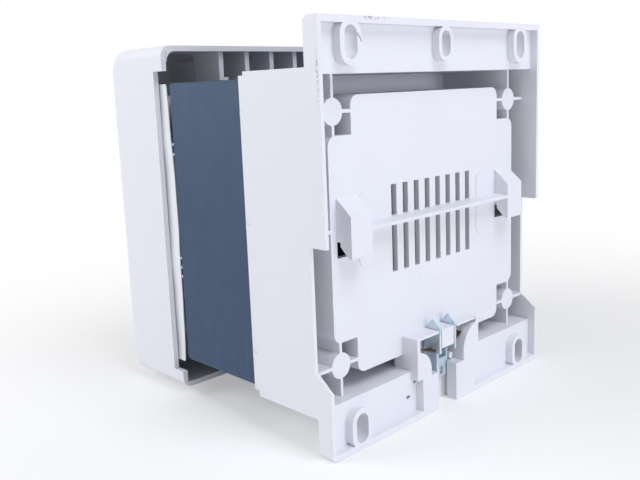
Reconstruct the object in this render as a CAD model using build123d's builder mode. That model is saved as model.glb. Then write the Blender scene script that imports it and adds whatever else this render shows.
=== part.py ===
from build123d import *
import os

os.makedirs("parts", exist_ok=True)

# Mains transformer in a plastic housing for a 35 mm rail or a panel.
# All sizes are in mm. X is across, Z is up and Y = 0 is the wall plane.
# The front looks to -Y, so a depth is measured from the wall plane towards -Y.

# Rear housing
width = 109.5
flange_height = 123.0
flange_depth = 5.6
flange_corner = 2.0
flange_edge_round = 1.9
rim = 1.9
side_wall = 1.25
tray_depth = 2.7
box_top = 48.3
box_bottom = -49.9
box_depth = 31.3
spigot_step = 1.1
spigot_rise = 3.5
floor_thickness = 1.0
moat_top = 46.4
moat_bottom = -46.2

# Raised back panel with the vents
panel_depth = 6.0
panel_thickness = 1.8
panel_corner = 3.0
panel_side = 8.05
panel_shoulder = 17.65
panel_top = 40.6
panel_upper_step = 29.5
panel_lower_step = -30.1
panel_bottom = -41.4
vent_count = 8
vent_pitch = 5.46
vent_width = 2.45
vent_length = 27.1
vent_middle = -0.2

# Screw pillars and the thin webs around them
pillar_inset = 10.45
pillar_top_z = 36.2
pillar_bottom_z = -36.9
pillar_radius = 3.85
web = 1.0

# Mounting slots
slot_inset = 12.35
slot_from_top = 6.9
slot_from_bottom = 6.5
slot_width = 5.0
slot_length = 9.0
slot_boss = 1.7
middle_slot_width = 4.4
middle_slot_length = 7.8
middle_slot_boss = 1.4

# Seat for the rail
rail_height = 35.0
rail_top = -0.3
rail_lip = 1.25
rail_clearance = 0.2
recess_foot = 1.0
recess_slope = 5.0
hook_inset = 10.55
hook_width = 8.8
hook_back = 0.4
hook_root_z = 12.3
hook_shoulder_z = 7.3
hook_bottom_z = -4.7
hook_tip = 1.1
hook_pocket_z = -5.1
blade_z = 2.9
blade_root = 2.0
blade_edge = 1.0
pad_width = 11.3
pad_bottom_z = -9.4
pad_height = 0.25
pad_corner = 2.5

# Guide of the rail clip
guide_half = 16.5
guide_wall = 1.4
guide_top = -39.4
guide_bottom = -48.8
guide_depth = 7.6
guide_back = 1.8
guide_shelf = 0.8
guide_channel = 7.95
block_plus_edge = 9.45
block_plus_top = -39.8
block_plus_round = 7.0
block_minus_top = -37.2
block_minus_round = 8.5
guide_pad = 13.9
gap_left = 6.0
gap_right = -3.7
gap_pad_depth = 3.8
lip_edge = -3.2
lip_top = -53.6
tongue_bottom = -41.8
stud_x = -6.2
stud_z = -47.4
stud_radius = 1.1
stud_depth = 4.0

# Rail clip of bent sheet steel and its leaf spring
sheet = 1.0
clip_half = 4.5
clip_play = 0.3
clip_back = 0.5
clip_nose_z = -34.75
clip_nose_height = 2.75
clip_shelf = -46.9
clip_bottom = -53.3
clip_edge = 1.75
clip_travel = 5.0
driver_hole_x = -1.1
driver_hole_rise = 2.1
driver_hole_length = 2.8
driver_hole_width = 1.8
spring_thickness = 0.35
spring_width = 3.6
spring_plus_end = 12.4
spring_minus_end = -9.7
spring_end_z = -39.9
spring_sag = 3.3
spring_back = 2.1

# Iron core, stacked towards the front
core_side = 2.25
core_leg = 17.5
core_top = 46.2
core_bottom = -48.0
core_stack = 37.5
core_edge = 1.0
fit = 0.1

# Coil
tube_gap = 0.3
tube_wall = 1.2
tube_corner = 0.5
former_flange = 1.6
primary_build = 6.6
layer_build = 0.8
secondary_build = 6.2
tape_build = 0.6

# Front cover
cover_gap = 0.5
cover_depth = 33.9
cover_top = 58.4
cover_bottom = -58.6
cover_wall = 1.8
cover_top_round = 8.5
cover_bottom_round = 5.0
cover_edge_round = 3.5
cutback = 5.2
cutback_top = 50.2
cutback_bottom = -52.6
rib_pitch = 11.66
rib_thickness = 1.9
rib_inset = 1.7
rib_length = 15.0
rib_bottom = 46.8
rib_foot = 1.9
rib_foot_thickness = 1.0
liner_thickness = 0.8
liner_top = 46.0
liner_bottom = -49.6
liner_inset = 1.6
liner_bow = 1.5
liner_length = 21.6

# Screws through the core
screw_radius = 2.0
screw_head = 3.8
screw_head_height = 3.0
cross_slot = 5.0
screw_end = 12.0
washer_radius = 4.2
washer_thickness = 0.8
tube_radius = 6.0
tube_bore = 4.5
tube_floor = 2.4

# Terminals
poles = 5
pole_pitch = rib_pitch
block_gap = 17.7
block_length = 13.0
block_end = 1.0
cage_size = 8.0
cage_offset = 5.6
cage_height = 9.0
cage_inset = 4.0
wire_entry_width = 6.0
wire_entry_depth = 5.0
wire_entry_shift = 1.0
access_radius = 2.6
terminal_screw = 1.9
terminal_head = 2.5
terminal_slot = 0.8
cage_wall = 1.3
lead_radius = 0.9
lead_offset = 3.4
lead_start = 13.4
bar_width = 3.0
bar_thickness = 1.0
block_clearance = 2.5

half = width / 2
half_flange = flange_height / 2
spigot_depth = box_depth + spigot_rise
moat_depth = spigot_depth - floor_thickness
panel_wide = half - panel_side
panel_narrow = half - panel_shoulder
pillar_x = half - pillar_inset
slot_x = half - slot_inset
slot_top_z = half_flange - slot_from_top
slot_bottom_z = slot_from_bottom - half_flange
hook_outer = half - hook_inset
hook_inner = hook_outer - hook_width
pad_inner = hook_inner - pad_width
rail_bottom = rail_top - rail_height
shelf_top = rail_bottom - rail_clearance

core_width = width - 2 * core_side
core_back = spigot_depth
core_front = core_back + core_stack
core_middle_depth = core_back + core_stack / 2
core_middle_z = (core_top + core_bottom) / 2
window_height = core_top - core_bottom - 2 * core_leg
cover_rim = core_front + cover_gap
cover_front = cover_rim + cover_depth
rib_back = cover_rim + rib_inset
liner_back = cover_rim + liner_inset
block_back = core_front + block_gap
block_front = block_back + block_length
cage_middle = block_back + cage_offset
lead_depth = block_back + lead_offset

tongue_half = clip_half - sheet - clip_play
clip_ear_bottom = guide_bottom + clip_play + clip_travel
strap_depth = gap_pad_depth + clip_play
spring_middle = (spring_plus_end + spring_minus_end) / 2
spring_half = (spring_plus_end - spring_minus_end) / 2
spring_low = spring_end_z - spring_sag
spring_radius = (spring_half**2 + spring_sag**2) / (2 * spring_sag)
washer_seat = core_front + tube_floor
head_seat = cage_middle + cage_size / 2
pillar_points = [(sx * pillar_x, z) for sx in (-1, 1) for z in (pillar_top_z, pillar_bottom_z)]


def facing(depth):
    """Plane parallel to the wall plane at this depth; its normal looks to the front."""
    return Plane.XZ.offset(depth)


def span(x0, x1, z0, z1, mode=Mode.ADD):
    """Rectangle of the current sketch between two X and two Z values."""
    with Locations(((x0 + x1) / 2, (z0 + z1) / 2)):
        Rectangle(abs(x1 - x0), abs(z1 - z0), mode=mode)


def stepped_panel(inset):
    """Outline of the raised panel, pulled in by the inset."""
    corner = panel_corner - inset
    for reach, low, high in (
        (panel_wide, panel_lower_step, panel_upper_step),
        (panel_narrow, panel_bottom, panel_top),
    ):
        with Locations((0, (low + high) / 2)):
            RectangleRounded(2 * (reach - inset), high - low - 2 * inset, corner)


# Rear housing: flanges, box, raised panel and rail seat in one moulding
with BuildPart() as base_housing:
    with BuildSketch(facing(0)) as flange_sketch:
        Rectangle(width, flange_height)
        fillet(flange_sketch.vertices().group_by(Axis.Y)[0], flange_corner)
    extrude(amount=flange_depth)
    top_edge = base_housing.edges().filter_by(Axis.X).group_by(Axis.Z)[-1].sort_by(Axis.Y)[0]
    fillet(top_edge, flange_edge_round)
    with BuildSketch(facing(0)):
        span(-half, half, box_bottom, box_top)
    extrude(amount=box_depth)
    with BuildSketch(facing(0)):
        span(
            spigot_step - half,
            half - spigot_step,
            box_bottom + spigot_step,
            box_top - spigot_step,
        )
    extrude(amount=spigot_depth)

    # Moat around the raised panel, open to the back
    with BuildSketch(facing(0)):
        span(side_wall - half, half - side_wall, moat_bottom, moat_top)
    extrude(amount=moat_depth, mode=Mode.SUBTRACT)

    # Shallow trays in the flanges, with a raised ring around each slot
    with BuildSketch(facing(0)):
        span(side_wall - half, half - side_wall, moat_top, half_flange - rim)
        span(guide_pad, half - side_wall, rim - half_flange, moat_bottom)
        span(side_wall - half, -guide_pad, rim - half_flange, moat_bottom)
    extrude(amount=tray_depth, mode=Mode.SUBTRACT)
    with BuildSketch(facing(0)):
        with Locations(
            (-slot_x, slot_top_z),
            (slot_x, slot_top_z),
            (-slot_x, slot_bottom_z),
            (slot_x, slot_bottom_z),
        ):
            SlotOverall(slot_length + 2 * slot_boss, slot_width + 2 * slot_boss, rotation=90)
        with Locations((0, slot_top_z)):
            SlotOverall(
                middle_slot_length + 2 * middle_slot_boss,
                middle_slot_width + 2 * middle_slot_boss,
                rotation=90,
            )
    extrude(amount=flange_depth)
    with BuildSketch(facing(0)):
        with Locations(
            (-slot_x, slot_top_z),
            (slot_x, slot_top_z),
            (-slot_x, slot_bottom_z),
            (slot_x, slot_bottom_z),
        ):
            SlotOverall(slot_length, slot_width, rotation=90)
        with Locations((0, slot_top_z)):
            SlotOverall(middle_slot_length, middle_slot_width, rotation=90)
    extrude(amount=flange_depth, mode=Mode.SUBTRACT)

    # Raised panel, a tower that is hollow towards the front
    with BuildSketch(facing(panel_depth)):
        stepped_panel(0)
    extrude(amount=moat_depth - panel_depth)

    # Pillars for the long screws, each with four webs
    with BuildSketch(facing(panel_depth)):
        with Locations(*pillar_points):
            Circle(pillar_radius)
        for side in (-1, 1):
            for z in (pillar_top_z, pillar_bottom_z):
                span(
                    side * (panel_narrow - web),
                    side * (half - side_wall + web),
                    z - web / 2,
                    z + web / 2,
                )
            for near, far in (
                (panel_upper_step - web, moat_top + web),
                (panel_lower_step + web, moat_bottom - web),
            ):
                span(side * pillar_x - web / 2, side * pillar_x + web / 2, near, far)
            span(
                side * (panel_wide - web),
                side * (half - side_wall + web),
                blade_z - web / 2,
                blade_z + web / 2,
            )
    extrude(amount=moat_depth - panel_depth)

    # Guide of the rail clip below the panel: two blocks with one large rounded corner each
    for low, high, top, corner, radius in (
        (block_plus_edge, guide_half, block_plus_top, 0, block_plus_round),
        (-guide_half, -guide_channel, block_minus_top, -1, block_minus_round),
    ):
        with BuildSketch(facing(0)) as block_sketch:
            span(low, high, guide_bottom, top)
            top_corners = block_sketch.vertices().group_by(Axis.Y)[-1].sort_by(Axis.X)
            fillet(top_corners[corner], radius)
        extrude(amount=guide_depth + guide_back)
    with BuildSketch(facing(guide_depth)):
        span(-guide_half, guide_half, moat_bottom - web, guide_top)
    extrude(amount=guide_back)
    with BuildSketch(facing(0)):
        span(-guide_channel, block_plus_edge, guide_bottom, guide_top)
    extrude(amount=guide_depth, mode=Mode.SUBTRACT)

    # Outer walls of the guide, its shelf with a gap for each ear, and the tongue between the ears
    with BuildSketch(facing(0)):
        for side in (-1, 1):
            span(side * (guide_half - guide_wall), side * guide_half, guide_bottom, shelf_top)
    extrude(amount=panel_depth + web)
    with BuildSketch(facing(clip_back)):
        for side in (-1, 1):
            span(
                side * (clip_half + clip_play),
                side * guide_half,
                shelf_top - guide_shelf,
                shelf_top,
            )
        span(-tongue_half, tongue_half, tongue_bottom, shelf_top)
    extrude(amount=panel_depth - clip_back + web)

    # Stud on the floor of the guide, beside the clip
    with BuildSketch(facing(stud_depth)):
        with Locations((stud_x, stud_z)):
            Circle(stud_radius)
    extrude(amount=guide_depth - stud_depth + web)

    # Gap in the lower flange, wider in front of the right-hand pad
    with BuildSketch(facing(0)):
        span(gap_right, gap_left, -half_flange, guide_bottom)
    extrude(amount=guide_depth, mode=Mode.SUBTRACT)
    with BuildSketch(facing(gap_pad_depth)):
        span(-clip_half - clip_play, gap_left, -half_flange, guide_bottom)
    extrude(amount=guide_depth - gap_pad_depth, mode=Mode.SUBTRACT)
    with BuildSketch(facing(strap_depth + sheet + clip_play)):
        span(lip_edge, gap_left + web, -half_flange, lip_top)
    extrude(amount=web)

    # Cavity for the coil behind the panel
    with BuildSketch(facing(panel_depth + panel_thickness)):
        stepped_panel(panel_thickness)
    extrude(amount=spigot_depth - panel_depth - panel_thickness, mode=Mode.SUBTRACT)

    # Vents, and the pocket behind each hook
    with BuildSketch(facing(panel_depth)):
        with Locations((0, vent_middle)):
            with GridLocations(vent_pitch, 0, vent_count, 1):
                Rectangle(vent_width, vent_length)
        for side in (-1, 1):
            span(side * hook_inner, side * hook_outer, hook_pocket_z, rail_top)
    extrude(amount=panel_thickness, mode=Mode.SUBTRACT)

    # Low pads beside the hooks
    with BuildSketch(facing(panel_depth - pad_height)):
        for side in (-1, 1):
            with Locations((side * (pad_inner + hook_inner) / 2, (pad_bottom_z + hook_root_z) / 2)):
                RectangleRounded(hook_inner - pad_inner, hook_root_z - pad_bottom_z, pad_corner)
    extrude(amount=pad_height)

    # Hooks that take the upper edge of the rail
    for x in (hook_inner, -hook_outer):
        with BuildSketch(Plane.YZ.offset(x)):
            with BuildLine():
                Polyline(
                    (-panel_depth - web, hook_root_z),
                    (-panel_depth, hook_root_z),
                    (-hook_back, hook_shoulder_z),
                    (-hook_back, hook_bottom_z),
                    (-hook_back - hook_tip, hook_bottom_z),
                    (-panel_depth + rail_lip, rail_top - rail_lip),
                    (-panel_depth + rail_lip, rail_top),
                    (-panel_depth - web, rail_top),
                    close=True,
                )
            make_face()
        extrude(amount=hook_width)

    # Blade rib between the hooks
    with BuildSketch(Plane.YZ.offset(-hook_inner - web)):
        with BuildLine():
            Polyline(
                (-panel_depth - web, blade_z + blade_root / 2),
                (-hook_back, blade_z + blade_edge / 2),
                (-hook_back, blade_z - blade_edge / 2),
                (-panel_depth - web, blade_z - blade_root / 2),
                close=True,
            )
        make_face()
    extrude(amount=2 * (hook_inner + web))

    # Side walls cut back so that the rail passes
    for x in (-half, half - side_wall):
        with BuildSketch(Plane.YZ.offset(x)):
            with BuildLine():
                Polyline(
                    (0, rail_top + rail_clearance),
                    (-panel_depth - rail_clearance, rail_top + rail_clearance),
                    (-panel_depth - rail_clearance, rail_bottom - recess_foot),
                    (0, rail_bottom - recess_foot - recess_slope),
                    close=True,
                )
            make_face()
        extrude(amount=side_wall, mode=Mode.SUBTRACT)

    # Blind screw holes in the pillars
    with BuildSketch(facing(screw_end - panel_thickness)):
        with Locations(*pillar_points):
            Circle(screw_radius + fit / 2)
    extrude(amount=spigot_depth, mode=Mode.SUBTRACT)
base_housing.part.label = "base_housing"
export_step(base_housing.part, "parts/base_housing.step")


# Rail clip: a lower strap with a screwdriver hole, a shelf, and two ears with a nose
def spring_height(x):
    """Height of the leaf spring's middle line at this x."""
    rise = spring_radius - (spring_radius**2 - (x - spring_middle) ** 2) ** 0.5
    return spring_low + spring_thickness / 2 + rise


def ear_outline(lower_edge):
    """Side of the clip; lower_edge is the depth of its back edge below the ear."""
    Polyline(
        (-clip_back, clip_nose_z),
        (-clip_back, clip_ear_bottom),
        (-lower_edge, clip_ear_bottom),
        (-lower_edge, clip_bottom),
        (-strap_depth - sheet, clip_bottom),
        (-strap_depth - sheet, clip_shelf),
        (-guide_depth + clip_play, clip_shelf),
        (-guide_depth + clip_play, guide_top - clip_back),
        (-panel_depth + clip_play, guide_top - clip_back),
        (-panel_depth + clip_play, clip_nose_z),
        (-panel_depth / 2 - clip_back / 2, clip_nose_z + clip_nose_height),
        close=True,
    )


with BuildPart() as din_clip:
    for x, lower_edge in ((clip_half - sheet, clip_edge), (-clip_half, strap_depth)):
        with BuildSketch(Plane.YZ.offset(x)):
            with BuildLine():
                ear_outline(lower_edge)
            make_face()
            with Locations((-spring_back - spring_width / 2, spring_height(x + sheet / 2))):
                Rectangle(spring_width + fit, spring_thickness + 2 * clip_play, mode=Mode.SUBTRACT)
        extrude(amount=sheet)
    with BuildSketch(facing(strap_depth)):
        span(-clip_half, clip_half, clip_bottom, clip_shelf)
        with Locations((driver_hole_x, clip_bottom + driver_hole_rise)):
            SlotOverall(driver_hole_length, driver_hole_width, rotation=90, mode=Mode.SUBTRACT)
    extrude(amount=sheet)
    with BuildSketch(facing(strap_depth)):
        span(-clip_half, clip_half, clip_shelf - sheet, clip_shelf)
    extrude(amount=guide_depth - clip_play - strap_depth)
    with BuildSketch(facing(guide_depth - clip_play - sheet)):
        span(-clip_half, clip_half, clip_shelf - sheet, tongue_bottom - 2 * clip_play)
    extrude(amount=sheet)
    fillet(din_clip.edges().filter_by(Axis.Z).group_by(Axis.X)[-1].sort_by(Axis.Y)[:1], sheet / 2)
din_clip.part.label = "din_clip"
export_step(din_clip.part, "parts/din_clip.step")

# Leaf spring: a bowed strip through both ears, its ends on the guide's rounded corners
with BuildPart() as clip_spring:
    with BuildSketch(facing(spring_back)):
        with BuildLine():
            below = ThreePointArc(
                (spring_minus_end, spring_end_z),
                (spring_middle, spring_low),
                (spring_plus_end, spring_end_z),
            )
            above = ThreePointArc(
                (spring_plus_end, spring_end_z + spring_thickness),
                (spring_middle, spring_low + spring_thickness),
                (spring_minus_end, spring_end_z + spring_thickness),
            )
            Line(below @ 1, above @ 0)
            Line(above @ 1, below @ 0)
        make_face()
    extrude(amount=spring_width)
clip_spring.part.label = "clip_spring"
export_step(clip_spring.part, "parts/clip_spring.step")

# Iron core: the E with its legs up, and the I that closes it
with BuildPart() as core_e_stack:
    with BuildSketch(facing(core_back)):
        span(-core_width / 2, core_width / 2, core_bottom, core_top - core_leg)
        for side in (-1, 1):
            window = (side * core_leg, side * 2 * core_leg)
            span(*window, core_bottom + core_leg, core_top, mode=Mode.SUBTRACT)
        with Locations(*[p for p in pillar_points if p[1] < 0]):
            Circle(screw_radius + fit, mode=Mode.SUBTRACT)
    extrude(amount=core_stack)
    by_x = core_e_stack.faces().group_by(Axis.X)
    fillet((by_x[0].edges() + by_x[-1].edges()).filter_by(Axis.Z), core_edge)
core_e_stack.part.label = "core_e_stack"
export_step(core_e_stack.part, "parts/core_e_stack.step")

with BuildPart() as core_i_stack:
    with BuildSketch(facing(core_back)):
        span(-core_width / 2, core_width / 2, core_top - core_leg, core_top)
        with Locations(*[p for p in pillar_points if p[1] > 0]):
            Circle(screw_radius + fit, mode=Mode.SUBTRACT)
    extrude(amount=core_stack)
    by_x = core_i_stack.faces().group_by(Axis.X)
    fillet((by_x[0].edges() + by_x[-1].edges()).filter_by(Axis.Z), core_edge)
core_i_stack.part.label = "core_i_stack"
export_step(core_i_stack.part, "parts/core_i_stack.step")


# Coil: everything is wound in rounded rectangles about the middle leg
def layer_outline(growth, mode=Mode.ADD):
    """Rounded rectangle around the middle leg, this far outside it."""
    with Locations((0, -core_middle_depth)):
        corner = max(growth, tube_corner)
        RectangleRounded(2 * core_leg + 2 * growth, core_stack + 2 * growth, corner, mode=mode)


def wound_layer(inner, outer, height):
    """Closed ring of a winding or a wrap, centred on the window."""
    with BuildPart() as ring:
        with BuildSketch(Plane.XY.offset(core_middle_z - height / 2)):
            layer_outline(outer)
            layer_outline(inner, Mode.SUBTRACT)
        extrude(amount=height)
    return ring


tube_outside = tube_gap + tube_wall
primary_outside = tube_outside + primary_build
layer_outside = primary_outside + layer_build
secondary_outside = layer_outside + secondary_build
tape_outside = secondary_outside + tape_build
former_height = window_height - 2 * tube_gap
winding_height = former_height - 2 * former_flange
carrier_x = poles * pole_pitch / 2 + block_end
lead_x = [(i - (poles - 1) / 2) * pole_pitch for i in range(poles)]

with BuildPart() as coil_former:
    with BuildSketch(Plane.XY.offset(core_middle_z - former_height / 2)):
        layer_outline(tube_outside)
    extrude(amount=former_height)
    for z in (core_middle_z - former_height / 2, core_middle_z + former_height / 2 - former_flange):
        with BuildSketch(Plane.XY.offset(z)):
            layer_outline(tape_outside + tube_gap)
            span(-carrier_x, carrier_x, -block_front, -core_front)
            for x in lead_x:
                with Locations((x, -lead_depth)):
                    Circle(lead_radius + fit, mode=Mode.SUBTRACT)
        extrude(amount=former_flange)
    with BuildSketch(Plane.XY.offset(core_middle_z - former_height / 2)):
        layer_outline(tube_gap)
    extrude(amount=former_height, mode=Mode.SUBTRACT)
coil_former.part.label = "coil_former"
export_step(coil_former.part, "parts/coil_former.step")

primary_winding = wound_layer(tube_outside, primary_outside, winding_height - 2 * tube_gap)
primary_winding.part.label = "primary_winding"
export_step(primary_winding.part, "parts/primary_winding.step")

layer_insulation = wound_layer(primary_outside, layer_outside, winding_height)
layer_insulation.part.label = "layer_insulation"
export_step(layer_insulation.part, "parts/layer_insulation.step")

secondary_winding = wound_layer(layer_outside, secondary_outside, winding_height - 2 * tube_gap)
secondary_winding.part.label = "secondary_winding"
export_step(secondary_winding.part, "parts/secondary_winding.step")

outer_tape = wound_layer(secondary_outside, tape_outside, winding_height)
outer_tape.part.label = "outer_tape"
export_step(outer_tape.part, "parts/outer_tape.step")

former_top = core_middle_z + former_height / 2
former_bottom = core_middle_z - former_height / 2
block_top = cover_top - cover_wall - block_clearance
block_bottom = cover_bottom + cover_wall + block_clearance
cage_top_z = block_top - cage_inset - cage_height / 2
cage_bottom_z = block_bottom + cage_inset + cage_height / 2


# Front cover: a shell that is open at the back
def cover_outline(inset):
    """Side view of the cover, pulled in by the inset except at the open back."""
    near = -cover_rim
    far = inset - cover_front
    high = cover_top - inset
    low = cover_bottom + inset
    high_round = cover_top_round - inset
    low_round = cover_bottom_round - inset
    Line((near, low), (near, high))
    Line((near, high), (far + high_round, high))
    RadiusArc((far + high_round, high), (far, high - high_round), -high_round)
    Line((far, high - high_round), (far, low + low_round))
    RadiusArc((far, low + low_round), (far + low_round, low), -low_round)
    Line((far + low_round, low), (near, low))


with BuildPart() as front_cover:
    with BuildSketch(Plane.YZ.offset(-half)):
        with BuildLine():
            cover_outline(0)
        make_face()
    extrude(amount=width)
    sides = front_cover.faces().filter_by(Axis.X)
    rounded = sides.edges().filter_by(lambda e: e.center().Y < -cover_rim - fit)
    fillet(rounded, cover_edge_round)
    with BuildSketch(Plane.YZ.offset(cover_wall - half)):
        with BuildLine():
            cover_outline(cover_wall)
        make_face()
    extrude(amount=width - 2 * cover_wall, mode=Mode.SUBTRACT)
    for x in (-half, half - 2 * cover_wall):
        with BuildSketch(facing(cover_rim)):
            span(x, x + 2 * cover_wall, cutback_bottom, cutback_top)
        extrude(amount=cutback, mode=Mode.SUBTRACT)

    # Ribs under the top wall
    with BuildSketch(facing(rib_back)):
        for i in range(poles + 1):
            x = (i - poles / 2) * rib_pitch
            span(x - rib_thickness / 2, x + rib_thickness / 2, rib_bottom, cover_top - fit)
            span(x - rib_thickness / 2 - rib_foot, x, rib_bottom, rib_bottom + rib_foot_thickness)
    extrude(amount=rib_length)

    # Tubes that press on the core and take the screw heads
    with BuildSketch(facing(core_front)):
        with Locations(*pillar_points):
            Circle(tube_radius)
    extrude(amount=cover_front - cover_wall / 2 - core_front)
    with BuildSketch(facing(core_front + tube_floor)):
        with Locations(*pillar_points):
            Circle(tube_bore)
    extrude(amount=cover_front, mode=Mode.SUBTRACT)
    with BuildSketch(facing(core_front)):
        with Locations(*pillar_points):
            Circle(screw_radius + fit)
    extrude(amount=tube_floor, mode=Mode.SUBTRACT)

    # Wire entries in the top and bottom walls, and screwdriver holes in the front
    with BuildSketch(Plane.XY.offset(cover_bottom)):
        for x in lead_x:
            with Locations((x, wire_entry_shift - cage_middle)):
                Rectangle(wire_entry_width, wire_entry_depth)
    extrude(amount=2 * cover_wall, mode=Mode.SUBTRACT)
    with BuildSketch(Plane.XY.offset(cover_top - 2 * cover_wall)):
        for x in lead_x:
            with Locations((x, wire_entry_shift - cage_middle)):
                Rectangle(wire_entry_width, wire_entry_depth)
    extrude(amount=2 * cover_wall, mode=Mode.SUBTRACT)
    with BuildSketch(facing(cover_front - 2 * cover_wall)):
        for x in lead_x:
            for z in (cage_top_z, cage_bottom_z):
                with Locations((x, z)):
                    Circle(access_radius)
    extrude(amount=3 * cover_wall, mode=Mode.SUBTRACT)
front_cover.part.label = "front_cover"
export_step(front_cover.part, "parts/front_cover.step")

# Liners between the cover's side walls and the core, with a bowed back edge
with BuildPart() as side_liners:
    for x in (cover_wall + fit - half, half - cover_wall - fit - liner_thickness):
        with BuildSketch(Plane.YZ.offset(x)):
            with BuildLine():
                ThreePointArc(
                    (-liner_back, liner_bottom),
                    (liner_bow - liner_back, (liner_top + liner_bottom) / 2),
                    (-liner_back, liner_top),
                )
                Polyline(
                    (-liner_back, liner_top),
                    (-liner_back - liner_length, liner_top),
                    (-liner_back - liner_length, liner_bottom),
                    (-liner_back, liner_bottom),
                )
            make_face()
        extrude(amount=liner_thickness)
side_liners.part.label = "side_liners"
export_step(side_liners.part, "parts/side_liners.step")


# Terminal strips on the former's carriers, one near the top and one near the bottom
def terminal_block(outer_z, inner_z, cage_z):
    """Insulating body with a pocket, a screw bore and a bar slot for each pole."""
    with BuildPart() as block:
        with BuildSketch(facing(block_back)):
            span(-carrier_x, carrier_x, inner_z, outer_z)
        extrude(amount=block_length)
        pocket_end = cage_z - cage_height / 2 if outer_z > 0 else cage_z + cage_height / 2
        with BuildSketch(Plane.XY.offset(min(pocket_end, outer_z))):
            for x in lead_x:
                with Locations((x, -cage_middle)):
                    Rectangle(cage_size + 2 * fit, cage_size + 2 * fit)
        extrude(amount=abs(outer_z - pocket_end), mode=Mode.SUBTRACT)
        with BuildSketch(Plane.XY.offset(min(pocket_end, inner_z))):
            for x in lead_x:
                with Locations((x, -lead_depth)):
                    Rectangle(bar_width + 2 * fit, bar_thickness + 2 * fit)
        extrude(amount=abs(pocket_end - inner_z), mode=Mode.SUBTRACT)
        with BuildSketch(facing(cage_middle)):
            for x in lead_x:
                with Locations((x, cage_z)):
                    Circle(terminal_head + fit)
        extrude(amount=block_front - cage_middle, mode=Mode.SUBTRACT)
    return block


top_terminal_block = terminal_block(block_top, former_top, cage_top_z)
top_terminal_block.part.label = "top_terminal_block"
export_step(top_terminal_block.part, "parts/top_terminal_block.step")

bottom_terminal_block = terminal_block(block_bottom, former_bottom, cage_bottom_z)
bottom_terminal_block.part.label = "bottom_terminal_block"
export_step(bottom_terminal_block.part, "parts/bottom_terminal_block.step")

with BuildPart() as terminal_cages:
    for cage_z in (cage_top_z, cage_bottom_z):
        with BuildSketch(Plane.XY.offset(cage_z - cage_height / 2)):
            for x in lead_x:
                with Locations((x, -cage_middle)):
                    Rectangle(cage_size, cage_size)
                    Rectangle(cage_size - 2 * cage_wall, cage_size - 2 * cage_wall, mode=Mode.SUBTRACT)
        extrude(amount=cage_height)
        with BuildSketch(facing(cage_middle)):
            for x in lead_x:
                with Locations((x, cage_z)):
                    Circle(terminal_screw + fit / 2)
        extrude(amount=cage_size, mode=Mode.SUBTRACT)
terminal_cages.part.label = "terminal_cages"
export_step(terminal_cages.part, "parts/terminal_cages.step")

with BuildPart() as terminal_screws:
    with BuildSketch(facing(cage_middle)):
        for x in lead_x:
            for z in (cage_top_z, cage_bottom_z):
                with Locations((x, z)):
                    Circle(terminal_screw)
    extrude(amount=head_seat - cage_middle)
    with BuildSketch(facing(head_seat)):
        for x in lead_x:
            for z in (cage_top_z, cage_bottom_z):
                with Locations((x, z)):
                    Circle(terminal_head)
    extrude(amount=terminal_head)
    with BuildSketch(facing(head_seat + terminal_head - web)):
        for x in lead_x:
            for z in (cage_top_z, cage_bottom_z):
                with Locations((x, z)):
                    Rectangle(2 * terminal_head + fit, terminal_slot)
    extrude(amount=web, mode=Mode.SUBTRACT)
terminal_screws.part.label = "terminal_screws"
export_step(terminal_screws.part, "parts/terminal_screws.step")

# Bars from the leads up into the cages
with BuildPart() as contact_bars:
    for near, far in ((former_top, cage_top_z), (former_bottom, cage_bottom_z)):
        with BuildSketch(Plane.XY.offset(min(near, far))):
            for x in lead_x:
                with Locations((x, -lead_depth)):
                    Rectangle(bar_width, bar_thickness)
        extrude(amount=abs(far - near))
contact_bars.part.label = "contact_bars"
export_step(contact_bars.part, "parts/contact_bars.step")


# Leads from the coil through the former's carrier to the bars
def coil_leads(carrier_z):
    """Five bent round wires that end at this face of the former."""
    coil_face = core_front + tape_outside
    start_z = carrier_z - lead_start if carrier_z > 0 else carrier_z + lead_start
    with BuildPart() as leads:
        for x in lead_x:
            with BuildLine() as path:
                Polyline(
                    (x, -coil_face, start_z),
                    (x, -lead_depth, start_z),
                    (x, -lead_depth, carrier_z),
                )
            with BuildSketch(Plane(origin=path.line @ 0, z_dir=path.line % 0)):
                Circle(lead_radius)
            sweep(path=path.line, transition=Transition.RIGHT)
    return leads


primary_leads = coil_leads(former_top)
primary_leads.part.label = "primary_leads"
export_step(primary_leads.part, "parts/primary_leads.step")

secondary_leads = coil_leads(former_bottom)
secondary_leads.part.label = "secondary_leads"
export_step(secondary_leads.part, "parts/secondary_leads.step")

# Four long screws from the cover's tubes through the core into the pillars
with BuildPart() as housing_screws:
    with BuildSketch(facing(screw_end)):
        with Locations(*pillar_points):
            Circle(screw_radius)
    extrude(amount=washer_seat + washer_thickness - screw_end)
    with BuildSketch(facing(washer_seat + washer_thickness)):
        with Locations(*pillar_points):
            Circle(screw_head)
    extrude(amount=screw_head_height)
    with BuildSketch(facing(washer_seat + washer_thickness + web)):
        for point in pillar_points:
            with Locations(point):
                Rectangle(cross_slot, web)
                Rectangle(web, cross_slot)
    extrude(amount=screw_head_height, mode=Mode.SUBTRACT)
housing_screws.part.label = "housing_screws"
export_step(housing_screws.part, "parts/housing_screws.step")

with BuildPart() as screw_washers:
    with BuildSketch(facing(washer_seat)):
        for point in pillar_points:
            with Locations(point):
                Circle(washer_radius)
                Circle(screw_radius + fit, mode=Mode.SUBTRACT)
    extrude(amount=washer_thickness)
screw_washers.part.label = "screw_washers"
export_step(screw_washers.part, "parts/screw_washers.step")
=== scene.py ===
"""Looks of an enclosed mains transformer with a rail clip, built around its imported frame.

Every length is in metres. X is across, +Y points from the housing's back to the wall, Z is up.
"""

import math

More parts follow.
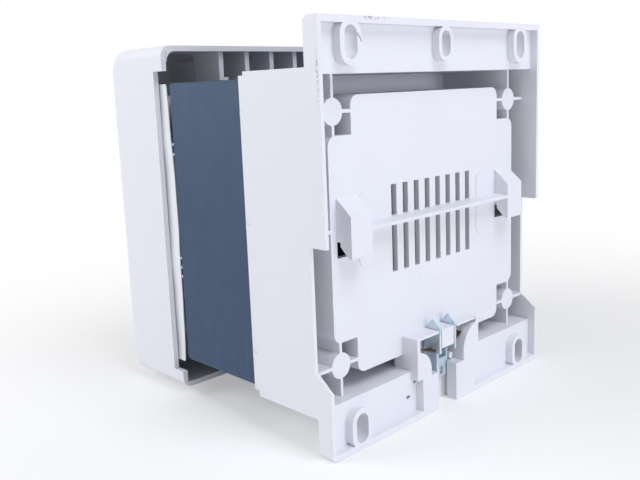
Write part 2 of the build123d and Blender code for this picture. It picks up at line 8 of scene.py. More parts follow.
import bpy
import numpy as np
from bpy.props import FloatProperty, FloatVectorProperty, PointerProperty
from mathutils import Matrix, Vector


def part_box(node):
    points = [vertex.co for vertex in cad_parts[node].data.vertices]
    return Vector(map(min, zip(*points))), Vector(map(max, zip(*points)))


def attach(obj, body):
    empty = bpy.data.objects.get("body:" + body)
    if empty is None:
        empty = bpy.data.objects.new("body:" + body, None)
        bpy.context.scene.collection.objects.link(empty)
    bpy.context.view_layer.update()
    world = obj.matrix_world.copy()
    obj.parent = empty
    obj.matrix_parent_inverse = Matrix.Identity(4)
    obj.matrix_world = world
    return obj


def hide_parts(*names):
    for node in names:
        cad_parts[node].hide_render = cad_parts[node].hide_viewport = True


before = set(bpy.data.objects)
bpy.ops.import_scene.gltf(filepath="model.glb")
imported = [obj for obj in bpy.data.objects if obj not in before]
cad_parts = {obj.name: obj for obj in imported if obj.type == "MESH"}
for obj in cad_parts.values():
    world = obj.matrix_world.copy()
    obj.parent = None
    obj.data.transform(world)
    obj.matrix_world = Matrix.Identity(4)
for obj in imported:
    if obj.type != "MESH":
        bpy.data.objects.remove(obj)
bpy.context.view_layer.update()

bl_info = {
    "name": "Mains transformer",
    "version": (1, 0, 0),
    "blender": (4, 5, 0),
    "location": "View3D > Sidebar > Transformer",
    "description": "Dresses the frame of a rail-mounted transformer",
    "category": "Object",
}

FLOOR_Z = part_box("base_housing")[0].z
SENSOR_WIDTH = 36.0
FLOOR_REACH = 6.0
FLOOR_DROP = 0.0001
SKY_TINT = (0.99, 1.0, 0.90, 1.0)
COOL_LIGHT = (0.96, 0.98, 1.12)
SIDE_LIGHT = (0.99, 1.0, 1.10)
WHITE = (1.0, 1.0, 1.0, 1.0)

# Radius of each CAD ring's outer corners, and how thick the ring is
WINDING_CORNERS = {"primary_winding": 0.0081, "secondary_winding": 0.0151}
WINDING_BUILDS = {"primary_winding": 0.0066, "secondary_winding": 0.0062}
CORE_CORNER = 0.001
SKIN_DEPTH = 0.0002
TAPE_WIDTH = 0.009
FILM_WIDTH = 0.02
CORNER_SEAT = 0.0001

LINER_STAND_OFF = 0.00025
LINER_BOW = 0.0015
BEAD_RADIUS = 0.0006
BEAD_INSET = 0.0009
BEAD_PROUD = 0.0002
LINER_BEADS = (0.0262, 0.0229, -0.0125, -0.0157, -0.0189)

# Marks of the photograph: place, reach and the stretch that narrows it along an axis
SCUFFS = (
    ((0.0325, -0.0002, 0.0612), 0.0085, (1.0, 1.0, 8.0)),
    ((0.0345, -0.0002, 0.0611), 0.0045, (1.0, 1.0, 6.0)),
    ((0.05475, -0.0008, 0.0455), 0.0110, (10.0, 14.0, 1.0)),
)
SPECKS = (
    ((0.01824, -0.0027, -0.05409), 0.0017, (1.0, 1.0, 1.7)),
    ((0.01492, -0.0027, -0.04998), 0.0014, (1.2, 1.0, 1.4)),
)
# Start, end and width
SCRATCHES = (
    ((0.0399, 0.0, 0.0570), (0.0389, 0.0, 0.0558), 0.0004),
    ((0.0390, 0.0, 0.0561), (0.0382, 0.0, 0.0546), 0.0004),
)


# Meshes


def joined_quads(rows, columns, closed_rows, closed_columns):
    """Corner numbers of a grid's quads; a closed way joins its last row or column to its first."""
    index = np.arange(rows * columns).reshape(rows, columns)
    down = np.roll(index, -1, 0)
    right = np.roll(index, -1, 1)
    across = np.roll(down, -1, 1)
    quads = np.stack((index, down, across, right), -1)
    if not closed_rows:
        quads = quads[:-1]
    if not closed_columns:
        quads = quads[:, :-1]
    return quads.reshape(-1, 4)


def surface(name, grids, closed_rows, closed_columns, material, smooth=True, body="housing"):
    """Piece made of equal grids of points, each rows by columns by three, with quads between neighbours."""
    grids = grids.reshape(-1, *grids.shape[-3:])
    count, rows, columns = grids.shape[:3]
    quads = joined_quads(rows, columns, closed_rows, closed_columns)
    first = np.arange(count)[:, None, None] * rows * columns
    quads = (quads[None] + first).reshape(-1, 4)
    mesh = bpy.data.meshes.new(name)
    mesh.from_pydata(grids.reshape(-1, 3).tolist(), [], quads.tolist())
    mesh.polygons.foreach_set("use_smooth", np.full(len(quads), smooth))
    mesh.materials.append(material)
    mesh.update()
    piece = bpy.data.objects.new(name, mesh)
    bpy.context.scene.collection.objects.link(piece)
    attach(piece, body)
    return piece


def rounded_ring(corner_x, corner_y, steps):
    """Centres and outward directions of a rounded rectangle.

    The point at distance g outside the corners is centre + g * direction, where the centre is one of the
    four corners and the direction turns through a quarter circle there.
    """
    quarter = np.linspace(0, math.pi / 2, steps)
    angle = (np.arange(4)[:, None] * math.pi / 2 + quarter).ravel()
    corner = np.repeat(np.arange(4), steps)
    centre = np.stack(
        (
            np.where((corner == 0) | (corner == 3), corner_x, -corner_x),
            np.where(corner < 2, corner_y, -corner_y),
        ),
        -1,
    )
    direction = np.stack((np.cos(angle), np.sin(angle)), -1)
    return centre, direction


# Materials


def linear(*channels):
    """Linear colour of a display colour from 0 to 255."""
    share = np.array(channels) / 255
    value = np.where(share <= 0.04045, share / 12.92, ((share + 0.055) / 1.055) ** 2.4)
    return tuple(float(v) for v in value)


def opaque(colour, gain=1.0):
    """Colour with an alpha of one, made lighter or darker by the gain."""
    return (*(min(1.0, channel * gain) for channel in colour), 1.0)


class Recipe:
    """Node tree of one material or world. Most methods add nodes and return the socket that comes out."""

    def __init__(self, name, library="materials"):
        self.owner = getattr(bpy.data, library).new(name)
        self.owner.use_nodes = True
        self.tree = self.owner.node_tree
        self.tree.nodes.clear()
        self.place = self.node("TexCoord").outputs["Object"]

    def node(self, kind, inputs=None, **fields):
        made = self.tree.nodes.new("ShaderNode" + kind)
        for field, value in fields.items():
            setattr(made, field, value)
        for key, value in (inputs or {}).items():
            if isinstance(value, bpy.types.NodeSocket):
                self.tree.links.new(value, made.inputs[key])
            else:
                made.inputs[key].default_value = value
        return made

    def stretched(self, scale, location=(0, 0, 0)):
        """Object coordinates scaled along each axis and then moved."""
        vector = {"Vector": self.place, "Location": location, "Scale": scale}
        return self.node("Mapping", vector, vector_type="POINT").outputs[0]

    def noise(self, scale, detail=3.0, roughness=0.5, vector=None):
        inputs = {
            "Vector": vector or self.place,
            "Scale": scale,
            "Detail": detail,
            "Roughness": roughness,
        }
        return self.node("TexNoise", inputs).outputs["Fac"]

    def bands(self, scale, direction, distortion=0.0):
        inputs = {"Vector": self.place, "Scale": scale, "Distortion": distortion}
        wave = self.node("TexWave", inputs, wave_type="BANDS", bands_direction=direction)
        return wave.outputs["Fac"]

    def ramp(self, value, low, high, start=0.0, end=1.0):
        """Value carried smoothly from the range low..high to start..end."""
        inputs = {0: value, 1: low, 2: high, 3: start, 4: end}
        fields = {"interpolation_type": "SMOOTHSTEP", "clamp": True}
        return self.node("MapRange", inputs, **fields).outputs[0]

    def maths(self, operation, first, second=0.0):
        return self.node("Math", {0: first, 1: second}, operation=operation).outputs[0]

    def blend(self, share, first, second):
        """Colour between the first and the second."""
        inputs = {0: share, 6: first, 7: second}
        return self.node("Mix", inputs, data_type="RGBA").outputs[2]

    def near(self, spot, radius, stretch=(1, 1, 1)):
        """One at a spot of the object, falling to nothing at the radius."""
        moved = self.stretched(stretch, tuple(-s * f for s, f in zip(spot, stretch)))
        distance = self.node("VectorMath", {0: moved}, operation="LENGTH").outputs["Value"]
        return self.ramp(distance, 0.0, radius, 1.0, 0.0)

    def stroke(self, start, end, width):
        """One on the straight stroke between two points, falling to nothing at the width beside it."""
        start, end = Vector(start), Vector(end)
        along = (end - start).normalized()
        moved = self.stretched((1, 1, 1), -(start + end) / 2)
        reach = self.node("VectorMath", {0: moved, 1: along}, operation="DOT_PRODUCT")
        reach = self.maths("ABSOLUTE", reach.outputs["Value"])
        beside = self.node("VectorMath", {0: moved, 1: along}, operation="CROSS_PRODUCT").outputs[0]
        beside = self.node("VectorMath", {0: beside}, operation="LENGTH").outputs["Value"]
        half = (end - start).length / 2
        inside = self.ramp(reach, half * 0.8, half, 1.0, 0.0)
        return self.maths("MULTIPLY", inside, self.ramp(beside, 0.0, width, 1.0, 0.0))

    def bump(self, height, distance, strength=1.0, normal=None):
        inputs = {"Height": height, "Distance": distance, "Strength": strength}
        if normal:
            inputs["Normal"] = normal
        return self.node("Bump", inputs).outputs[0]

    def finish(self, **inputs):
        """Principled surface with these inputs; an underscore stands for a space."""
        named = {key.replace("_", " "): value for key, value in inputs.items()}
        shader = self.node("BsdfPrincipled", named)
        self.node("OutputMaterial", {"Surface": shader.outputs[0]})
        return self.owner

    def seen(self):
        """One for rays from the camera, off a mirror-like face or through clear matter."""
        path = self.node("LightPath").outputs
        direct = self.maths("MAXIMUM", path["Is Camera Ray"], path["Is Glossy Ray"])
        return self.maths("MAXIMUM", direct, path["Is Transmission Ray"])


def moulded_plastic(name, colour, scuffs=(), scratches=(), specks=()):
    """Satin moulding: faint flow clouds and a fine spark texture, with scuffs, scratches and specks."""
    recipe = Recipe(name)
    clouds = recipe.noise(22.0, 4.0)
    tone = recipe.blend(clouds, opaque(colour, 0.965), opaque(colour, 1.02))
    grains = recipe.ramp(recipe.noise(620.0, 2.0), 0.70, 0.80)
    tone = recipe.blend(recipe.maths("MULTIPLY", grains, 0.22), tone, opaque(colour, 0.55))
    for spot, radius, stretch in scuffs:
        broken = recipe.ramp(recipe.noise(1100.0, 3.0, 0.7), 0.48, 0.60)
        mark = recipe.maths("MULTIPLY", recipe.near(spot, radius, stretch), broken)
        tone = recipe.blend(recipe.maths("MULTIPLY", mark, 0.7), tone, opaque(colour, 0.22))
    for start, end, width in scratches:
        mark = recipe.stroke(start, end, width)
        tone = recipe.blend(recipe.maths("MULTIPLY", mark, 0.75), tone, opaque(colour, 0.12))
    for spot, radius, stretch in specks:
        mark = recipe.ramp(recipe.near(spot, radius, stretch), 0.35, 0.65)
        tone = recipe.blend(recipe.maths("MULTIPLY", mark, 0.9), tone, opaque(colour, 0.05))
    rough = recipe.ramp(recipe.noise(150.0, 3.0), 0.2, 0.8, 0.40, 0.54)
    sink = recipe.bump(recipe.noise(34.0, 2.0), 0.00035, 0.25)
    spark = recipe.bump(recipe.noise(2600.0, 2.0), 0.000025, 0.5, sink)
    return recipe.finish(Base_Color=tone, Roughness=rough, Normal=spark, IOR=1.5)


def varnished_iron(name, colour, lamination):
    """Dark varnish over sheet edges: lines at each sheet, runs down the height and worn lower ends."""
    recipe = Recipe(name)
    runs = recipe.noise(1.0, 5.0, 0.6, recipe.stretched((60.0, 900.0, 22.0)))
    clouds = recipe.noise(28.0, 3.0)
    tone = recipe.blend(clouds, opaque(colour, 0.92), opaque(colour, 1.08))
    tone = recipe.blend(recipe.ramp(runs, 0.45, 0.75, 0.0, 0.35), tone, opaque(colour, 1.18))
    height = recipe.node("SeparateXYZ", {0: recipe.place}).outputs["Z"]
    low = recipe.ramp(height, -0.046, -0.012, 1.0, 0.0)
    streak = recipe.noise(1.0, 3.0, 0.6, recipe.stretched((60.0, 1500.0, 9.0)))
    streak = recipe.ramp(streak, 0.52, 0.66)
    worn = recipe.maths("MULTIPLY", low, streak)
    tone = recipe.blend(recipe.maths("MULTIPLY", worn, 0.2), tone, opaque(colour, 1.6))
    rough = recipe.ramp(recipe.noise(180.0, 3.0), 0.2, 0.8, 0.46, 0.60)
    sheets = recipe.bands(math.pi / 10 / lamination, "Y", 0.4)
    lines = recipe.bump(sheets, 0.00003, 0.25)
    normal = recipe.bump(runs, 0.00004, 0.3, lines)
    return recipe.finish(Base_Color=tone, Roughness=rough, Normal=normal, IOR=1.38)


def plated_steel(name, colour, tint, roughness=0.34, metallic=1.0):
    """Zinc plate: a cloudy tint over bright metal, with fine drawing lines."""
    recipe = Recipe(name)
    clouds = recipe.ramp(recipe.noise(330.0, 3.0), 0.35, 0.65)
    tone = recipe.blend(clouds, opaque(colour), opaque(tint))
    lines = recipe.noise(1.0, 3.0, 0.6, recipe.stretched((2500.0, 2500.0, 160.0)))
    rough = recipe.ramp(lines, 0.2, 0.8, roughness - 0.06, roughness + 0.1)
    normal = recipe.bump(lines, 0.00001, 0.5)
    return recipe.finish(Base_Color=tone, Metallic=metallic, Roughness=rough, Normal=normal)


def spring_strip(name, colour):
    """Dull bronze strip with heat-darkened patches."""
    recipe = Recipe(name)
    patches = recipe.ramp(recipe.noise(260.0, 4.0, 0.6), 0.4, 0.7)
    tone = recipe.blend(patches, opaque(colour), opaque(colour, 0.35))
    rough = recipe.ramp(recipe.noise(700.0, 2.0), 0.2, 0.8, 0.38, 0.6)
    normal = recipe.bump(recipe.noise(1500.0, 3.0), 0.00001, 0.5)
    return recipe.finish(Base_Color=tone, Metallic=0.85, Roughness=rough, Normal=normal)


def sheet_liner(name, colour):
    """Thin white sheet with faint clouds and a soft matt face."""
    recipe = Recipe(name)
    tone = recipe.blend(recipe.noise(60.0, 4.0), opaque(colour), opaque(colour, 0.96))
    fibres = recipe.noise(1.0, 4.0, 0.6, recipe.stretched((900.0, 500.0, 160.0)))
    tone = recipe.blend(recipe.ramp(fibres, 0.55, 0.8, 0.0, 0.25), tone, opaque(colour, 0.7))
    rough = recipe.ramp(fibres, 0.2, 0.8, 0.5, 0.7)
    normal = recipe.bump(recipe.noise(90.0, 2.0), 0.0006, 0.3, recipe.bump(fibres, 0.00002, 0.5))
    return recipe.finish(Base_Color=tone, Roughness=rough, Normal=normal)


def enamelled_wire(name, colour):
    """Copper under clear enamel, darker where the varnish pooled."""
    recipe = Recipe(name)
    pooled = recipe.ramp(recipe.noise(140.0, 4.0), 0.35, 0.7)
    tone = recipe.blend(pooled, opaque(colour), opaque(colour, 0.45))
    rough = recipe.ramp(recipe.noise(500.0, 2.0), 0.2, 0.8, 0.25, 0.42)
    normal = recipe.bump(recipe.noise(900.0, 2.0), 0.00002, 0.4)
    inputs = {"Metallic": 0.8, "Coat_Weight": 0.6, "Coat_Roughness": 0.2}
    return recipe.finish(Base_Color=tone, Roughness=rough, Normal=normal, **inputs)


def wrap_film(name, colour, overlap):
    """Wound film or tape: an edge at every overlap and varnish soaked into it."""
    recipe = Recipe(name)
    soaked = recipe.ramp(recipe.noise(55.0, 4.0), 0.3, 0.7)
    tone = recipe.blend(soaked, opaque(colour), opaque(colour, 0.55))
    edges = recipe.bands(math.pi / 10 / overlap, "Z", 0.3)
    tone = recipe.blend(recipe.ramp(edges, 0.85, 1.0, 0.0, 0.4), tone, opaque(colour, 0.4))
    rough = recipe.ramp(recipe.noise(300.0, 2.0), 0.2, 0.8, 0.3, 0.5)
    normal = recipe.bump(edges, 0.00008, 0.6, recipe.bump(recipe.noise(120.0, 3.0), 0.0003, 0.4))
    return recipe.finish(Base_Color=tone, Roughness=rough, Normal=normal)


def filled_moulding(name, colour):
    """Dark moulding with short glass fibres in its skin."""
    recipe = Recipe(name)
    fibres = recipe.noise(1.0, 3.0, 0.7, recipe.stretched((500.0, 1600.0, 900.0)))
    fibres = recipe.ramp(fibres, 0.55, 0.75)
    tone = recipe.blend(recipe.maths("MULTIPLY", fibres, 0.5), opaque(colour), opaque(colour, 1.7))
    rough = recipe.ramp(recipe.noise(220.0, 3.0), 0.2, 0.8, 0.42, 0.6)
    normal = recipe.bump(fibres, 0.00002, 0.5)
    return recipe.finish(Base_Color=tone, Roughness=rough, Normal=normal)


def plain_brass(name, colour):
    """Tumbled brass with small dull spots."""
    recipe = Recipe(name)
    spots = recipe.ramp(recipe.noise(420.0, 3.0), 0.5, 0.75)
    tone = recipe.blend(recipe.maths("MULTIPLY", spots, 0.6), opaque(colour), opaque(colour, 0.5))
    rough = recipe.ramp(recipe.noise(800.0, 2.0), 0.2, 0.8, 0.24, 0.4)
    normal = recipe.bump(recipe.noise(1400.0, 3.0), 0.00001, 0.5)
    return recipe.finish(Base_Color=tone, Metallic=1.0, Roughness=rough, Normal=normal)


def give(material, *nodes):
    """Puts the material on the CAD nodes."""
    for node in nodes:
        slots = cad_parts[node].material_slots
        if not slots:
            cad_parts[node].data.materials.append(material)
        for slot in slots:
            slot.material = material


# Settings


def shade(name, description, *channels):
    """Colour setting, given as a display colour from 0 to 255."""
    return FloatVectorProperty(
        name=name, description=description, subtype="COLOR", min=0.0, max=1.0, default=linear(*channels)
    )


def length(name, description, least, most, default):
    """Length setting in metres."""
    return FloatProperty(
        name=name, description=description, unit="LENGTH", min=least, max=most, default=default
    )


def turn(name, description, degrees):
    """Angle setting, given in degrees."""
    return FloatProperty(name=name, description=description, subtype="ANGLE", default=math.radians(degrees))


def power(name, description, watts):
    """Power setting of a lamp."""
    return FloatProperty(
        name=name, description=description, subtype="POWER", min=0.0, max=50.0, default=watts
    )


class TransformerFinish(bpy.types.PropertyGroup):
    """Colours of the finishes."""

    housing: shade("Housing", "Plastic of the rear housing and the cover", 231, 232, 238)
    core: shade("Core varnish", "Varnish on the iron core", 57, 77, 103)
    plate: shade("Zinc plate", "Bright plate of the rail clip", 214, 226, 234)
    plate_tint: shade("Zinc tint", "Cloudy tint on the rail clip", 190, 208, 226)
    strip: shade("Leaf spring", "Strip of the clip's spring", 122, 96, 70)
    liner: shade("Liner", "Sheets between the cover and the core", 236, 238, 244)
    copper: shade("Wire", "Enamelled wire of the coil", 196, 110, 66)
    tape: shade("Tape", "Tape around the coil", 84, 86, 76)
    film: shade("Film", "Insulation between the windings", 214, 200, 150)
    brass: shade("Brass", "Terminal cages and bars", 214, 186, 122)
    screw: shade("Screws", "Plate of the screws and washers", 196, 198, 200)
    screw_tint: shade("Screw tint", "Cloudy tint on the screws and washers", 206, 202, 188)
    moulding: shade("Dark moulding", "Coil former", 88, 91, 96)
    terminal: shade("Terminal moulding", "Bodies of the terminals", 222, 223, 226)


class TransformerDetail(bpy.types.PropertyGroup):
    """Sizes of the fine detail."""

    cover_wall: length("Cover wall", "Wall of the front cover", 0.001, 0.004, 0.0018)
    inner_round: length("Inner round", "Radius in the cover's upper inner corners", 0.0005, 0.006, 0.0035)
    lamination: length("Sheet", "Thickness of one sheet of the core", 0.0002, 0.001, 0.0005)
    sheet_groove: length("Sheet groove", "Depth of the line between two sheets", 0.0, 0.0002, 0.00005)
    inner_wire: length("Inner wire", "Diameter of the inner winding's wire", 0.0003, 0.002, 0.0007)
    outer_wire: length("Outer wire", "Diameter of the outer winding's wire", 0.0003, 0.003, 0.0012)
    liner: length("Liner", "Thickness of the white sheets beside the core", 0.0001, 0.001, 0.00035)


class TransformerView(bpy.types.PropertyGroup):
    """Camera and light of the photograph."""

    position: FloatVectorProperty(
        name="Camera place", description="Where the camera stands", subtype="TRANSLATION",
        unit="LENGTH", default=(0.1932, 0.1406, 0.0430),
    )
    azimuth: turn("Azimuth", "Turn of the camera about the object", 136.42)
    elevation: turn("Elevation", "Height of the camera as an angle", 9.67)
    roll: turn("Roll", "Turn of the camera about its own axis", -2.33)
    focal_length: FloatProperty(
        name="Focal length", description="Lens on a sensor 36 mm wide", min=10.0, max=200.0, default=42.49,
    )
    shift: FloatVectorProperty(
        name="Shift", description="Shift of the lens, as a share of the width", size=2,
        default=(0.0128, -0.0370),
    )
    sky: FloatProperty(
        name="Sky", description="Strength of the even light", min=0.0, max=3.0, default=0.34,
    )
    key: power("Key lamp", "Power of the soft lamp behind the housing", 2.6)
    side: power("Side lamp", "Power of the soft lamp beside the core", 5.1)
    top: power("Top lamp", "Power of the soft lamp above and behind the object", 6.2)


def finishes():
    return bpy.context.scene.transformer_finish


def details():
    return bpy.context.scene.transformer_detail


def photo_view():
    return bpy.context.scene.transformer_view


# Pieces


def inner_rounds(name, low, high, wall, radius, material):
    """Hollow rounds in the two upper inner corners of the cover.

    Across the corner the round is a quarter circle about a centre that lies one radius inside both walls:
    x = centre + r cos a and z = centre + r sin a, with a from 0 to 90 degrees. The last point of each row
    lies in the corner, and the first row has shrunk to it, which closes the end that the camera sees.
    """
    angle = np.linspace(0.0, math.pi / 2, 17)
    depth = np.concatenate(([high.y], np.linspace(high.y, low.y + 2 * wall, 6)))
    side = np.empty((len(depth), len(angle) + 1, 3))
    side[:, :-1, 0] = high.x - wall - radius + radius * np.cos(angle)
    side[:, :-1, 2] = high.z - wall - radius + radius * np.sin(angle)
    side[:, -1, 0] = high.x - wall + CORNER_SEAT
    side[:, -1, 2] = high.z - wall + CORNER_SEAT
    side[..., 1] = depth[:, None]
    side[0] = side[0, -1]
    side = side[:, ::-1]
    other = side[::-1] * (-1, 1, 1)
    return surface(name, np.stack((side, other)), False, True, material, smooth=False)


class TRANSFORMER_OT_cases(bpy.types.Operator):
    """Grey plastic of the rear housing and the front cover"""

    bl_idname = "transformer.cases"
    bl_label = "Housing and cover"

    def execute(self, context):
        colour = finishes().housing
        give(moulded_plastic("housing_plastic", colour, SCUFFS, SCRATCHES, SPECKS), "base_housing")
        plastic = moulded_plastic("cover_plastic", colour)
        give(plastic, "front_cover")
        low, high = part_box("front_cover")
        wall, radius = details().cover_wall, details().inner_round
        rounds = inner_rounds("cover_inner_rounds", low, high, wall, radius, plastic)
        return {"FINISHED"}


def sheet_edges(name, low, high, corner, material):
    """Skin of sheet edges around the core.

    Along the depth, the skin sinks between two sheets: its height is the groove times the square root of
    the absolute sine of pi times the depth over the sheet's thickness. That profile is carried around the
    core's rounded outline and closed on its inner side.
    """
    sheet = details().lamination
    depth = high.y - low.y
    steps = 4 * round(depth / sheet) + 1
    along = np.linspace(low.y, high.y, steps)
    rise = details().sheet_groove * np.sqrt(np.abs(np.sin(math.pi * (along - low.y) / sheet)))
    out = np.concatenate((corner + rise, np.full(2, corner - SKIN_DEPTH)))
    along = np.concatenate((along, (high.y, low.y)))
    half = (high - low) / 2
    middle = (high + low) / 2
    centre, direction = rounded_ring(half.x - corner, half.z - corner, 5)
    plane = centre[:, None] + direction[:, None] * out[None, :, None]
    points = np.empty((*plane.shape[:2], 3))
    points[..., 0] = middle.x + plane[..., 0]
    points[..., 1] = along
    points[..., 2] = middle.z + plane[..., 1]
    return surface(name, points, True, True, material)


class TRANSFORMER_OT_core(bpy.types.Operator):
    """Varnished iron core with the edges of its sheets"""

    bl_idname = "transformer.core"
    bl_label = "Iron core"

    def execute(self, context):
        varnish = varnished_iron("core_varnish", finishes().core, details().lamination)
        give(varnish, "core_e_stack", "core_i_stack")
        low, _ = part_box("core_e_stack")
        _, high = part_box("core_i_stack")
        skin = sheet_edges("core_sheet_edges", low, high, CORE_CORNER, varnish)
        return {"FINISHED"}


def wound_wire(name, node, wire, material):
    """Turns of round wire around the middle leg.

    Down the height, the surface swells as a half circle at each turn. That profile is carried around the
    rounded rectangle that the CAD ring has outside, and closed on its inner side.
    """
    low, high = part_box(node)
    half = (high - low) / 2
    middle = (high + low) / 2
    corner = WINDING_CORNERS[node]
    inner = corner - WINDING_BUILDS[node]
    turns = round((high.z - low.z) / wire)
    per_turn = 6
    place = np.linspace(0, turns, turns * per_turn + 1)
    across = 2 * (place % 1.0) - 1
    swell = np.sqrt(np.clip(1 - across**2, 0, 1)) * wire / 2
    out = corner - wire / 2 + swell
    up = low.z + place / turns * (high.z - low.z)
    out = np.concatenate((out, (inner, inner)))
    up = np.concatenate((up, (high.z, low.z)))
    centre, direction = rounded_ring(half.x - corner, half.y - corner, 7)
    plane = centre[:, None] + direction[:, None] * out[None, :, None]
    points = np.empty((*plane.shape[:2], 3))
    points[..., 0] = middle.x + plane[..., 0]
    points[..., 1] = middle.y + plane[..., 1]
    points[..., 2] = up
    return surface(name, points, True, True, material)


class TRANSFORMER_OT_coil(bpy.types.Operator):
    """Former, wire, film and tape of the coil"""

    bl_idname = "transformer.coil"
    bl_label = "Coil"

    def execute(self, context):
        colours = finishes()
        wire = enamelled_wire("coil_wire", colours.copper)
        for node, diameter in (
            ("primary_winding", details().inner_wire),
            ("secondary_winding", details().outer_wire),
        ):
            turns = wound_wire(node + "_turns", node, diameter, wire)
            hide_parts(node)
        give(wire, "primary_leads", "secondary_leads")
        give(wrap_film("coil_tape", colours.tape, TAPE_WIDTH), "outer_tape")
        give(wrap_film("coil_film", colours.film, FILM_WIDTH), "layer_insulation")
        give(filled_moulding("former_moulding", colours.moulding), "coil_former")
        return {"FINISHED"}


class TRANSFORMER_OT_clip(bpy.types.Operator):
    """Plated rail clip and its leaf spring"""

    bl_idname = "transformer.clip"
    bl_label = "Rail clip"

    def execute(self, context):
        colours = finishes()
        plate = plated_steel("clip_plate", colours.plate, colours.plate_tint, 0.42, 0.55)
        give(plate, "din_clip")
        give(spring_strip("spring_strip", colours.strip), "clip_spring")
        return {"FINISHED"}


def liner_sheets(name, low, high, sheet, stand_off, bow, material):
    """Two thin sheets with bowed back edges.

    With the height as a share t from 0 to 1, a sheet's back edge stands forward by the bow times
    (2t - 1) squared, and the sheet stands off the wall by the stand-off times (1 + w / 2), where w is the
    sine of 13t plus half the sine of 29t. Both ends taper to nothing.
    """
    rows, columns = 160, 12
    share = np.linspace(0, 1, rows)
    back = high.y - bow * (2 * share - 1) ** 2
    wave = np.sin(13 * share) + 0.5 * np.sin(29 * share)
    outside = high.x - stand_off * (1 + wave / 2)
    thickness = np.full(rows, sheet)
    thickness[[0, -1]] = 0.0
    depth = back[:, None] + (low.y - back[:, None]) * np.linspace(0, 1, columns)
    side = np.empty((rows, 2 * columns, 3))
    side[:, :columns, 0] = outside[:, None]
    side[:, columns:, 0] = (outside - thickness)[:, None]
    side[..., 1] = np.concatenate((depth, depth[:, ::-1]), 1)
    side[..., 2] = (low.z + share * (high.z - low.z))[:, None]
    other = side[:, ::-1] * (-1, 1, 1)
    return surface(name, np.stack((side, other)), False, True, material, smooth=False)


def bead_drops(name, places, radius, material):
    """Small drops: spheres with x = r sin a cos b, y = r sin a sin b and z = r cos a."""
    down = np.linspace(0.0, math.pi, 9)
    around = np.linspace(0.0, 2 * math.pi, 16, endpoint=False)
    ball = np.empty((len(down), len(around), 3))
    ball[..., 0] = np.sin(down)[:, None] * np.cos(around)
    ball[..., 1] = np.sin(down)[:, None] * np.sin(around)
    ball[..., 2] = np.cos(down)[:, None]
    grids = np.array(places)[:, None, None] + radius * ball
    return surface(name, grids, False, True, material)


class TRANSFORMER_OT_liners(bpy.types.Operator):
    """White sheets between the cover and the core, and the drops that hold the one in the photograph"""

    bl_idname = "transformer.liners"
    bl_label = "Liners"

    def execute(self, context):
        material = sheet_liner("liner_sheet", finishes().liner)
        low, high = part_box("side_liners")
        sheets = liner_sheets(
            "liner_sheets", low, high, details().liner, LINER_STAND_OFF, LINER_BOW, material
        )
        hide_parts("side_liners")
        places = [(high.x - BEAD_INSET, high.y + BEAD_PROUD, z) for z in LINER_BEADS]
        bead_drops("liner_beads", places, BEAD_RADIUS, material)
        return {"FINISHED"}


class TRANSFORMER_OT_terminals(bpy.types.Operator):
    """Terminal bodies, cages, bars and screws"""

    bl_idname = "transformer.terminals"
    bl_label = "Terminals"

    def execute(self, context):
        colours = finishes()
        bodies = moulded_plastic("terminal_moulding", colours.terminal)
        give(bodies, "top_terminal_block", "bottom_terminal_block")
        give(plain_brass("terminal_brass", colours.brass), "terminal_cages", "contact_bars")
        steel = plated_steel("screw_plate", colours.screw, colours.screw_tint, 0.3)
        give(steel, "terminal_screws", "housing_screws", "screw_washers")
        return {"FINISHED"}


# Stage


def studio_floor():
    """Pale floor that fades to white away from the object, for the camera and for mirror-like faces."""
    recipe = Recipe("studio_floor")
    spread = recipe.node("VectorMath", {0: recipe.place}, operation="LENGTH").outputs["Value"]
    far = recipe.ramp(spread, 0.08, 0.34, 0.35, 1.0)
    mottle = recipe.blend(recipe.noise(3.0, 3.0), (0.95, 0.95, 0.95, 1.0), (0.98, 0.98, 0.98, 1.0))
    paper = recipe.node("BsdfDiffuse", {"Color": mottle}).outputs[0]
    glow = recipe.node("Emission", {"Color": WHITE, "Strength": 1.0}).outputs[0]
    share = recipe.maths("MULTIPLY", far, recipe.seen())
    mixed = recipe.node("MixShader", {0: share, 1: paper, 2: glow}).outputs[0]
    recipe.node("OutputMaterial", {"Surface": mixed})
    return recipe.owner


def even_sky(strength):
    """World that lights the object evenly; what the camera or a mirror sees of it is plain white."""
    recipe = Recipe("studio_sky", "worlds")
    light = recipe.node("Background", {"Color": SKY_TINT, "Strength": strength}).outputs[0]
    white = recipe.node("Background", {"Color": WHITE, "Strength": 1.0}).outputs[0]
    mixed = recipe.node("MixShader", {0: recipe.seen(), 1: light, 2: white}).outputs[0]
    recipe.node("OutputWorld", {"Surface": mixed})
    bpy.context.scene.world = recipe.owner


def photo_axes(view):
    """Right, up and back directions of the camera, from its azimuth, elevation and roll."""
    around, rise, roll = view.azimuth, view.elevation, view.roll
    level = math.cos(rise)
    back = Vector((math.sin(around) * level, -math.cos(around) * level, math.sin(rise)))
    right = Vector((math.cos(around), math.sin(around), 0.0))
    up = back.cross(right)
    tilted_right = right * math.cos(roll) + up * math.sin(roll)
    tilted_up = up * math.cos(roll) - right * math.sin(roll)
    return tilted_right, tilted_up, back


def place_facing(thing, position, right, up, back):
    """Stands the thing at the position with these three directions as its own X, Y and Z."""
    turned = Matrix((right, up, back)).transposed().to_4x4()
    turned.translation = Vector(position)
    thing.matrix_world = turned


def soft_lamp(name, position, size, watts, colour):
    """Rectangular lamp that looks at the origin."""
    data = bpy.data.lights.new(name, "AREA")
    data.shape = "RECTANGLE"
    data.size, data.size_y = size
    data.energy = watts
    data.color = colour
    lamp = bpy.data.objects.new(name, data)
    bpy.context.scene.collection.objects.link(lamp)
    lamp.location = position
    lamp.rotation_euler = Vector(position).to_track_quat("Z", "Y").to_euler()


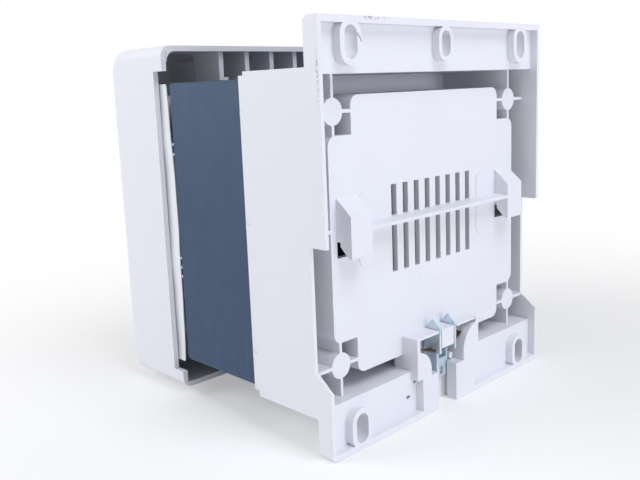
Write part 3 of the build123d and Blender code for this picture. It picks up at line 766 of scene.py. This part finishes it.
class TRANSFORMER_OT_stage(bpy.types.Operator):
    """Pale floor, soft light and the photograph's camera"""

    bl_idname = "transformer.stage"
    bl_label = "Stage"

    def execute(self, context):
        view = photo_view()
        corners = FLOOR_REACH * np.array([(-1, -1), (1, -1), (1, 1), (-1, 1)])
        points = np.column_stack((corners, np.full(4, FLOOR_Z - FLOOR_DROP)))
        mesh = bpy.data.meshes.new("floor")
        mesh.from_pydata(points.tolist(), [], [(0, 1, 2, 3)])
        mesh.materials.append(studio_floor())
        floor = bpy.data.objects.new("floor", mesh)
        context.scene.collection.objects.link(floor)

        even_sky(view.sky)
        soft_lamp("key_lamp", (-0.15, 1.0, 0.05), (0.5, 0.22), view.key, COOL_LIGHT)
        soft_lamp("side_lamp", (0.75, -0.6, 0.45), (0.6, 0.6), view.side, SIDE_LIGHT)
        soft_lamp("top_lamp", (0.0, 0.6, 1.0), (0.6, 0.6), view.top, COOL_LIGHT)

        data = bpy.data.cameras.new("photo_camera")
        data.sensor_width = SENSOR_WIDTH
        data.lens = view.focal_length
        data.shift_x, data.shift_y = view.shift
        data.clip_start = 0.01
        camera = bpy.data.objects.new("photo_camera", data)
        context.scene.collection.objects.link(camera)
        place_facing(camera, view.position, *photo_axes(view))
        context.scene.camera = camera
        context.scene.view_settings.view_transform = "Standard"
        return {"FINISHED"}


STEPS = (
    TRANSFORMER_OT_stage,
    TRANSFORMER_OT_cases,
    TRANSFORMER_OT_core,
    TRANSFORMER_OT_coil,
    TRANSFORMER_OT_clip,
    TRANSFORMER_OT_liners,
    TRANSFORMER_OT_terminals,
)


class TRANSFORMER_PT_sidebar(bpy.types.Panel):
    """Settings and steps of the transformer"""

    bl_label = "Transformer"
    bl_idname = "TRANSFORMER_PT_sidebar"
    bl_space_type = "VIEW_3D"
    bl_region_type = "UI"
    bl_category = "Transformer"

    def draw(self, context):
        for group in (finishes(), details(), photo_view()):
            box = self.layout.box()
            for name in group.__annotations__:
                box.prop(group, name)
        for step in STEPS:
            self.layout.operator(step.bl_idname)


GROUPS = (
    ("transformer_finish", TransformerFinish),
    ("transformer_detail", TransformerDetail),
    ("transformer_view", TransformerView),
)


def register():
    for name, group in GROUPS:
        bpy.utils.register_class(group)
        setattr(bpy.types.Scene, name, PointerProperty(type=group))
    for step in STEPS:
        bpy.utils.register_class(step)
    bpy.utils.register_class(TRANSFORMER_PT_sidebar)


def unregister():
    bpy.utils.unregister_class(TRANSFORMER_PT_sidebar)
    for step in reversed(STEPS):
        bpy.utils.unregister_class(step)
    for name, group in reversed(GROUPS):
        delattr(bpy.types.Scene, name)
        bpy.utils.unregister_class(group)


def main():
    register()
    for step in STEPS:
        group, name = step.bl_idname.split(".")
        getattr(getattr(bpy.ops, group), name)()


if __name__ == "__main__":
    main()
